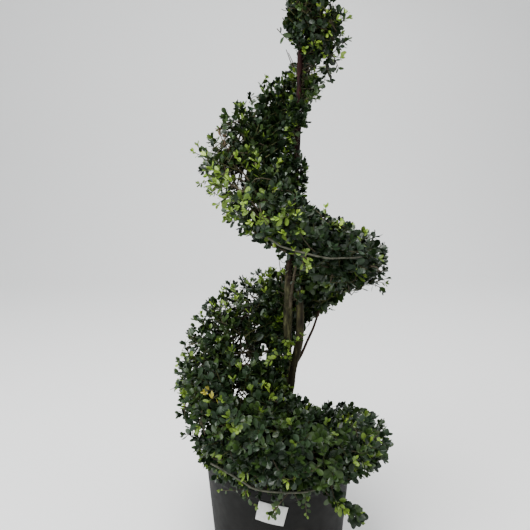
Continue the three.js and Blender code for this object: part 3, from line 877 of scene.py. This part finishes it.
def make_soil():
    """Compost with a lumpy top, closed below."""
    rings, sides = 90, 200
    edge = wall_radius(SOIL_TOP) - POT_WALL - SOIL_GAP
    points = [(0, 0, SOIL_TOP - 2)]
    for i in range(1, rings + 1):
        for x, y, _ in ring(edge * i / rings, 0, sides):
            lumps = 1.6 * noise.noise((x * 0.04, y * 0.04, 0)) + 1.3 * noise.noise((x * 0.16, y * 0.16, 5))
            grains = 0.8 * noise.noise((x * 0.5, y * 0.5, 9))
            points.append((x, y, SOIL_TOP - 2.4 + lumps + grains))
    for height in (SOIL_TOP - 12, POT_FLOOR + 1):
        points.extend(ring(wall_radius(height) - POT_WALL - SOIL_GAP, height, sides))
    points.append((0, 0, POT_FLOOR + 1))
    quads, fans = stack_faces(rings + 2, sides, from_top=True)
    make_piece("compost", np.array(points), quads, fans, soil_material(), ("soil",))


def make_label():
    """A plain blank sticker on the front of the pot, tilted, a little curled at one corner."""
    tilt = math.radians(LABEL["tilt"])
    steps = LABEL_STEPS
    rows = []
    for layer in LABEL_LAYERS:
        for i in range(steps + 1):
            for j in range(steps + 1):
                u = LABEL["width"] * (i / steps - 0.5)
                v = LABEL["height"] * (j / steps - 0.5)
                across = u * math.cos(tilt) - v * math.sin(tilt)
                level = LABEL["middle"] + u * math.sin(tilt) + v * math.cos(tilt)
                curl = LABEL_CURL * max(0, (i + j) / (2 * steps) - CURLED_FROM) / (1 - CURLED_FROM)
                radius = wall_radius(level) + layer + curl
                angle = math.radians(LABEL["bearing"]) + across / wall_radius(LABEL["middle"])
                rows.append((radius * math.cos(angle), radius * math.sin(angle), level))
    n = (steps + 1) ** 2
    quads = []
    for i in range(steps):
        for j in range(steps):
            a = i * (steps + 1) + j
            b = a + steps + 1
            quads.append((a, b, b + 1, a + 1))
            quads.append((n + a, n + a + 1, n + b + 1, n + b))
    edge = [i * (steps + 1) for i in range(steps)] + [steps * (steps + 1) + j for j in range(steps)]
    edge += [i * (steps + 1) + steps for i in range(steps, 0, -1)] + list(range(steps, 0, -1))
    for a, b in zip(edge, edge[1:] + edge[:1]):
        quads.append((a, n + a, n + b, b))
    make_piece("blank_label", np.array(rows), quads, [], label_material(), ("label",))


# Foliage

def leaf_template():
    """A leaf's points as shares along and across it, with their quads and triangles."""
    points = [(0.0, 0.0)]
    for along, width in LEAF_ROWS:
        points.extend([(along, -width), (along, 0.0), (along, width)])
    points.append((1.0, 0.0))
    quads, triangles = [], [(0, 2, 1), (0, 3, 2)]
    last = 1 + 3 * (len(LEAF_ROWS) - 1)
    for a in range(1, last, 3):
        quads.extend([(a, a + 1, a + 4, a + 3), (a + 1, a + 2, a + 5, a + 4)])
    triangles.extend([(last, last + 1, last + 3), (last + 1, last + 2, last + 3)])
    return np.array(points), np.array(quads), np.array(triangles)


class Leaves:
    """Leaves of each kind, gathered and then joined into pieces of a limited size."""

    def __init__(self):
        self.found = {kind: [] for kind in LEAF_KINDS}

    def add(self, kind, root, direction, facing, length):
        self.found[kind].append((root, direction, facing, length * LEAF_KINDS[kind][0]))

    def make(self, random):
        for kind, leaves in self.found.items():
            for number, first in enumerate(range(0, len(leaves), LEAVES_PER_PIECE)):
                name = f"leaves_{kind}_{number + 1}"
                self.make_leaves(name, kind, leaves[first:first + LEAVES_PER_PIECE], random)

    def make_leaves(self, name, kind, leaves, random):
        shares, quads, triangles = leaf_template()
        root, direction, facing, length = (np.array(column) for column in zip(*leaves))
        direction = unit(direction)
        length = length[:, None]
        count = len(leaves)
        across = unit(np.cross(facing, direction))
        normal = np.cross(direction, across)
        half_width = length * LEAF_KINDS[kind][1] / 2 * random.uniform(*LEAF_WIDTHS, (count, 1))
        cup = random.uniform(*LEAF_CUP, (count, 1))
        droop = random.uniform(*LEAF_DROOP, (count, 1))
        along, wide = shares[:, 0], shares[:, 1]
        lift = -cup * half_width * np.abs(wide) ** 1.6 - droop * length * along ** 2
        points = (
            root[:, None]
            + direction[:, None] * (length * along)[..., None]
            + across[:, None] * (half_width * wide)[..., None]
            + normal[:, None] * lift[..., None]
        )
        base = np.arange(count)[:, None, None] * len(shares)
        quads = (quads[None] + base).reshape(-1, 4)
        triangles = (triangles[None] + base).reshape(-1, 3)
        make_piece(name, points.reshape(-1, 3), quads, triangles, LEAF_MATERIALS[kind], MASSES)


class Twigs:
    """Twigs of one kind, whose paths all have the same count of points."""

    def __init__(self):
        self.paths = []
        self.radii = []

    def add(self, path, foot, tip):
        self.paths.append(path)
        self.radii.append(np.linspace(foot, tip, len(path)))

    def make(self, name, material, sides):
        points, quads = tube_arrays(np.array(self.paths, float), np.array(self.radii), sides)
        make_piece(name, points, quads, [], material, MASSES)


def bent_path(start, end, bend):
    """A path from start to end, bowed to one side."""
    t = np.linspace(0, 1, TWIG_POINTS)[:, None]
    start, end = np.array(start, float), np.array(end, float)
    return start + (end - start) * t + bend * (4 * t * (1 - t))


def clear_of_pot(points):
    outside = np.hypot(points[..., 0], points[..., 1]) > POT_RIM + 1.5
    return outside | (points[..., 2] > POT_HEIGHT + 1)


def inside_box(points):
    return (points > BOX_LOW).all() and (points < BOX_HIGH).all()


def clear_of_limbs(points):
    distance = np.linalg.norm(points[:, None] - LIMB_POINTS[None, :, :3], axis=2)
    return (distance > LIMB_POINTS[None, :, 3]).all(axis=1)


def limb_points():
    rows = []
    for limb in (TRUNK, SECOND_STEM, THIN_STEM, LOW_BOUGH):
        path = smooth_path(limb["path"], 120)
        radius = np.linspace(limb["foot"], limb["tip"], 120) * 1.15 + 0.6
        rows.append(np.column_stack([path, radius]))
    return np.vstack(rows)


LIMB_POINTS = limb_points()


def spots_at(spots):
    """Spots of the coil as places: centre, spread and value."""
    return [(coil_point(turn, angle, 0.95), spread, value) for turn, angle, spread, value in spots]


# Places of the painted shade on the foliage, where green shoots take dark leaves
SHADED_LEAF_PLACES = [(coil_point(turn, angle, 0.95), reach) for turn, angle, reach in SHADED_LEAF_SPOTS]
FRESH_PLACES = spots_at(FRESH_SPOTS)
BULGE_PLACES = spots_at(BULGES)
EYE = np.array(CAMERA["place"]) / MM

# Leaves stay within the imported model's box and a margin in mm
BOX_MARGIN = 15
BOX_LOW = np.array(cad_box[0]) / MM - BOX_MARGIN
BOX_HIGH = np.array(cad_box[1]) / MM + BOX_MARGIN


def add_spots(point, places, total=0):
    """The total with what each spot adds to it at a point, less with the distance."""
    for centre, spread, value in places:
        total += value * math.exp(-(np.linalg.norm(point - centre) / spread) ** 2)
    return total


def sight_lines(gaps):
    """Directions from the eye, radii and shares of a list of gaps."""
    rows = np.array(gaps, float)
    targets = np.column_stack([rows[:, 0], np.zeros(len(rows)), rows[:, 1]])
    return unit(targets - EYE), rows[:, 2], rows[:, 3]


BOUGH_STEPS = 60
BOUGH_POINTS = np.vstack([smooth_path(bough["path"], BOUGH_STEPS) for bough in (RIM_BOUGH, ARCH_BOUGH)])
BOUGH_SIGHTS = unit(BOUGH_POINTS - EYE)
BOUGH_RANGES = np.linalg.norm(BOUGH_POINTS - EYE, axis=1)
SKY_LINES = sight_lines(SKY_GAPS)
STEM_LINES = sight_lines(STEM_VIEWS)


def share_past(point, lines):
    sights, radii, shares = lines
    away = np.linalg.norm(np.cross(point - EYE, sights), axis=1)
    return lerp(shares, 1, np.clip((away - radii) / GAP_EDGE, 0, 1)).min()


def hides_bough(point):
    away = np.linalg.norm(np.cross(point - EYE, BOUGH_SIGHTS), axis=1)
    nearer = np.linalg.norm(point - EYE) < BOUGH_RANGES + BOUGH_VIEW
    return (nearer & (away < BOUGH_VIEW)).any()


def kept_share(point):
    """The share of leaves that stay at a point, where gaps, stems and boughs show."""
    kept = share_past(point, SKY_LINES)
    if point[1] < STEM_FRONT:
        kept = min(kept, share_past(point, STEM_LINES))
        if kept > BOUGH_SHARE and hides_bough(point):
            kept = BOUGH_SHARE
    return kept


def grow_leaves(
    leaves, path, kinds, random, first_share, size, spacing=LEAF_SPACING, placed=False, front=None
):
    """Leaves that turn round a shoot by the golden angle, with a tuft at its tip.

    Placed shoots keep all their leaves where gaps and stems show. Leaves face along the shoot and
    up, or to the front that is given."""
    length = np.linalg.norm(path[-1] - path[0])
    count = max(3, int(length * (1 - first_share) / spacing))
    axis = unit(path[-1] - path[-2])
    first = unit(np.cross(axis, UP + np.array([0.1, 0.2, 0])))
    second = np.cross(axis, first)
    turn = random.uniform(0, 2 * math.pi)
    steps = np.linspace(0, 1, len(path))
    for i in range(count + TUFT):
        share = min(1, first_share + (1 - first_share) * i / count)
        in_tuft = i >= count - 1
        root = np.array([np.interp(share, steps, path[:, k]) for k in range(3)])
        turn += GOLDEN_ANGLE + random.normal(0, 0.25)
        aim = first * math.cos(turn) + second * math.sin(turn)
        opening = math.radians(random.normal(TUFT_OPENING if in_tuft else LEAF_OPENING, 12))
        direction = axis * math.cos(opening) + aim * math.sin(opening) + random.normal(0, 0.12, 3)
        direction = unit(direction + UP * 0.12)
        facing = (axis + UP * 0.75 if front is None else front) + random.normal(0, 0.3, 3)
        leaf = size * LEAF_LENGTH * random.uniform(0.78, 1.15) * (TUFT_SIZE if in_tuft else 1)
        middle = root + direction * leaf * 0.5
        tip = root + direction * leaf
        ends = np.stack([root, middle, tip])
        seen = (random.random() < kept_share(middle) or placed) and inside_box(ends)
        if seen and clear_of_pot(ends).all() and clear_of_limbs(ends).all():
            leaves.add(kinds[1] if in_tuft else kinds[0], root, direction, facing, leaf)


def pick_kinds(point, deep, random):
    """The kinds of a shoot's leaves and of its tuft."""
    if deep:
        return random.choice([("dark", "dark"), ("dark", "green"), ("green", "green")], p=[0.55, 0.25, 0.20])
    body = random.choice(["dark", "green", "bluish"], p=[0.46, 0.34, 0.20])
    # Painted shade: green shoots within the shaded spots get dark leaves
    if body == "green" and any(np.linalg.norm(point - centre) < reach for centre, reach in SHADED_LEAF_PLACES):
        body = "dark"
    if random.random() < add_spots(point, FRESH_PLACES, FRESH_ELSEWHERE):
        body = random.choice(["green", "bright"], p=[0.3, 0.7])
        return body, random.choice(["fresh", "bright"], p=[0.7, 0.3])
    return body, body if random.random() < 0.87 else "bright"


def grow_mass(space, number, leaves, shoots, twigs):
    """One mass: shoots to the outline with their leaves, and twigs from inside the mass to their roots."""
    random = np.random.default_rng(SEED + number)
    small = min(1.0, max(0.4, space.reach / FULL_REACH))
    leaf_size = lerp(*LEAF_SIZES, clamp((space.reach - 80) / 110))
    if space.fine:
        leaf_size *= FINE_LEAVES
    for layer, area in (("outer", OUTER_SHOOT_AREA), ("inner", INNER_SHOOT_AREA)):
        count = int(space.surface / (area * small))
        for i in range(count):
            along = (i + random.uniform(0, 1)) / count
            share = (i * GOLDEN_STEP + random.uniform(0, 0.1)) % 1
            angle = math.radians(lerp(-space.open_side, space.open_side, share))
            edge = space.at(along, angle, 1)
            middle = space.at(clamp(along + random.uniform(-0.12, 0.12)), angle, 0)
            outward = unit(edge - middle)
            tip = edge - outward * (random.uniform(*TIP_DEPTH) - add_spots(edge, BULGE_PLACES))
            if layer == "inner":
                tip = lerp(middle, edge, random.uniform(*INNER_DEPTH))
            elif random.random() < STRAY_SHARE:
                tip = edge + outward * random.uniform(-STRAY_REACH, STRAY_REACH)
            length = random.uniform(*SHOOT_LENGTH) * max(0.55, small)
            lean = unit(outward + random.uniform(-SHOOT_LEAN, SHOOT_LEAN, 3) + UP * 0.25)
            if lean @ outward < 0.35:
                lean = outward
            length = min(length, 0.85 * np.linalg.norm(tip - middle) + 8)
            root = tip - lean * length
            bend = random.normal(0, SHOOT_BEND, 3) * length - UP * SHOOT_BEND * length
            path = bent_path(root, tip, bend)
            if random.random() > min(kept_share(tip), kept_share((root + tip) / 2)):
                continue
            kinds = pick_kinds(tip, layer == "inner", random)
            if not clear_of_pot(path[1:]).all() or not clear_of_limbs(path[1:]).all():
                continue
            shoots.add(path, SHOOT_RADIUS[0] * 1.1, SHOOT_RADIUS[1])
            grow_leaves(leaves, path, kinds, random, 0.22, leaf_size * random.uniform(0.85, 1.1))
            if layer == "outer" and i % 2 == 0:
                fork = space.at(clamp(along - 0.1), angle, random.uniform(0, 0.35))
                twig = bent_path(fork, root, random.normal(0, 4, 3))
                if clear_of_pot(twig).all():
                    twigs.add(twig, TWIG_RADIUS[0] * small, TWIG_RADIUS[1] * small)


def grow_runners(runners):
    """Boughs trained along the coil: most inside the foliage, and a few that show between the leaves."""
    random = np.random.default_rng(SEED + 100)
    first, last = COIL[0][0], COIL[-1][0]
    for out, angle, radius in INNER_RUNNERS:
        turn = first + 10
        while turn < last - 30:
            span = random.uniform(80, 130)
            turns = np.linspace(turn, min(turn + span, last - 4), RUNNER_STEPS)
            start = coil_point(turns[0], 180, 0.9)
            points = [start]
            wander = random.uniform(0, 6)
            for k, t in enumerate(turns[1:]):
                swell = out * min(1, 0.35 + k * 0.2)
                points.append(coil_point(t, angle + 14 * math.sin(k * 0.8 + wander), swell))
            points = np.array(points)
            if clear_of_pot(points).all():
                slim = lerp(0.45, 1, min(1, (turn - first) / 220))
                runners.add(points, radius * slim, 1.1 * slim)
            turn += span * 0.55
    for start, end, angle, out, radius in OUTER_RUNNERS:
        turns = np.linspace(start, end, RUNNER_STEPS)
        wave = [coil_point(t, angle + 3 * math.sin(k * 0.9), out) for k, t in enumerate(turns)]
        runners.add(np.array(wave), radius, radius * 0.6)
    runners.add(smooth_path(FORK["path"], RUNNER_STEPS), FORK["foot"], FORK["tip"])


def grow_surface_twigs(twigs):
    """Thin twigs that wander along the surface of the coil between the leaves."""
    random = np.random.default_rng(SEED + 120)
    first, last = COIL[0][0], COIL[-1][0]
    for i in range(SURFACE_TWIGS):
        turn = lerp(first + 200, last - 30, (i + random.uniform(0, 1)) / SURFACE_TWIGS)
        angle = random.uniform(-80, 80)
        span, climb = random.uniform(5, 13), random.uniform(-35, 35)
        start = coil_point(turn, angle, 0.82)
        end = coil_point(turn + span, angle + climb, 0.97)
        middle = coil_point(turn + span / 2, angle + climb / 2, 0.95)
        path = bent_path(start, end, middle - (start + end) / 2 + random.normal(0, 2, 3))
        if clear_of_pot(path).all():
            twigs.add(path, 0.8, 0.5)


def grow_boughs(boughs):
    for bough in (RIM_BOUGH, ARCH_BOUGH):
        boughs.add(smooth_path(bough["path"], BOUGH_STEPS), bough["foot"], bough["tip"])


# Sprigs that hang over the pot: path, radius, kinds of leaves, their spacing and size
SPRIGS = [
    ([(87, -93, 260), (90, -130, 246), (88, -149, 228), (103, -153, 209), (119, -154, 194),
      (133, -153, 181)], 1.8, "dark", "bright", 1.7, 1.1),
    ([(88, -151, 226), (96, -160, 214), (106, -164, 204)], 0.9, "bright", "fresh", 1.8, 1.0),
    ([(108, -153, 206), (122, -157, 198), (134, -155, 190)], 0.9, "green", "fresh", 2.0, 0.95),
    ([(112, -153, 200), (120, -156, 188), (134, -154, 176)], 0.9, "dark", "fresh", 2.0, 1.0),
    ([(84, -140, 236), (92, -146, 222), (104, -140, 206)], 1.0, "dark", "dark", 3.2, 1.0),
    ([(70, -142, 240), (80, -147, 222), (90, -142, 208)], 0.9, "green", "dark", 3.4, 0.95),
    ([(-44, -148, 240), (-74, -138, 226), (-106, -112, 206)], 0.8, "green", "bright", 7.0, 0.55),
    ([(-60, -146, 236), (-56, -150, 220), (-42, -150, 203)], 0.8, "green", "bright", 5.0, 0.6),
    ([(16, -160, 240), (1, -162, 221), (-9, -158, 202), (-18, -154, 189)],
     1.3, "green", "bright", 4.0, 0.75),
    ([(-4, -160, 212), (-12, -158, 200), (-10, -154, 190)], 0.8, "bright", "green", 3.2, 0.75),
    ([(40, -152, 236), (42, -153, 212), (45, -150, 184)], 0.8, "green", "bright", 6.0, 0.65),
    ([(20, -156, 240), (26, -157, 226), (30, -154, 214)], 0.9, "dark", "green", 4.0, 0.8),
]


def grow_stem_tufts(leaves, twigs):
    """Short shoots that grow straight from the trunk and the second stem."""
    random = np.random.default_rng(SEED + 150)
    for heights, turns, count, length in STEM_TUFTS:
        for i in range(count):
            height = lerp(*heights, (i + random.uniform(0, 1)) / count)
            turn = math.radians(lerp(*turns, (i * GOLDEN_STEP + random.uniform(0, 0.1)) % 1))
            outward = np.array([math.cos(turn), math.sin(turn), random.uniform(-0.1, 0.6)])
            root = trunk_at(height) + outward * np.array([5, 5, 0])
            tip = root + unit(outward) * length * random.uniform(0.55, 1.0)
            path = bent_path(root, tip, random.normal(0, 1.5, 3))
            twigs.add(path, 0.8, 0.45)
            kinds = pick_kinds(tip, False, random)
            grow_leaves(leaves, path, kinds, random, 0.15, random.uniform(0.75, 1.0))


def grow_rim_shoots(leaves, twigs):
    """Shoots from the coil's underside that lean out over the rim and droop."""
    random = np.random.default_rng(SEED + 160)
    for turns, heights, count in RIM_SHOOTS:
        for i in range(count):
            turn = lerp(*turns, (i + random.uniform(0, 1)) / count)
            root = around_pot(turn, random.uniform(112, 134), random.uniform(250, 272))
            aside, reach = random.uniform(-6, 6), random.uniform(147, 160)
            tip = around_pot(turn + aside, reach, random.uniform(*heights))
            path = bent_path(root, tip, UP * random.uniform(3, 8))
            twigs.add(path, 0.85, 0.5)
            kinds = pick_kinds(tip, False, random)
            grow_leaves(leaves, path, kinds, random, 0.2, random.uniform(0.85, 1.1))


def around_pot(turn, radius, height):
    angle = math.radians(turn)
    return np.array([radius * math.cos(angle), radius * math.sin(angle), height])


def grow_loose_shoots(leaves, twigs):
    random = np.random.default_rng(SEED + 170)
    for foot, tip, body, tuft in LOOSE_SHOOTS:
        path = bent_path(foot, tip, random.normal(0, 1.5, 3))
        twigs.add(path, 0.9, 0.5)
        grow_leaves(leaves, path, (body, tuft), random, 0.2, 0.8, placed=True)
    for foot, tip in BARE_TWIGS:
        twigs.add(bent_path(foot, tip, random.normal(0, 2.5, 3)), 0.9, 0.5)


def grow_sprigs(leaves, runners):
    random = np.random.default_rng(SEED + 200)
    for path, radius, body, tuft, spacing, size in SPRIGS:
        curve = smooth_path(path, RUNNER_STEPS)
        runners.add(curve, radius, 0.5)
        front = unit(curve[-1] * np.array([1, 1, 0])) + UP * 0.7
        grow_leaves(leaves, curve, (body, tuft), random, 0.3, size, spacing, placed=True, front=front)


def make_foliage():
    leaves = Leaves()
    shoots, twigs, runners, boughs = Twigs(), Twigs(), Twigs(), Twigs()
    for number, space in enumerate(list_spaces()):
        grow_mass(space, number, leaves, shoots, twigs)
    grow_runners(runners)
    grow_boughs(boughs)
    grow_surface_twigs(twigs)
    grow_stem_tufts(leaves, twigs)
    grow_rim_shoots(leaves, twigs)
    grow_loose_shoots(leaves, twigs)
    grow_sprigs(leaves, runners)
    leaves.make(np.random.default_rng(SEED + 300))
    shoots.make("shoots", SHOOT_BARK, 3)
    twigs.make("twigs", TWIG_BARK, 4)
    runners.make("runners", TWIG_BARK, 7)
    boughs.make("boughs", BOUGH_BARK, 10)


place_camera()
make_stage()
make_light()
make_pot()
make_soil()
make_label()
make_limbs()
make_foliage()
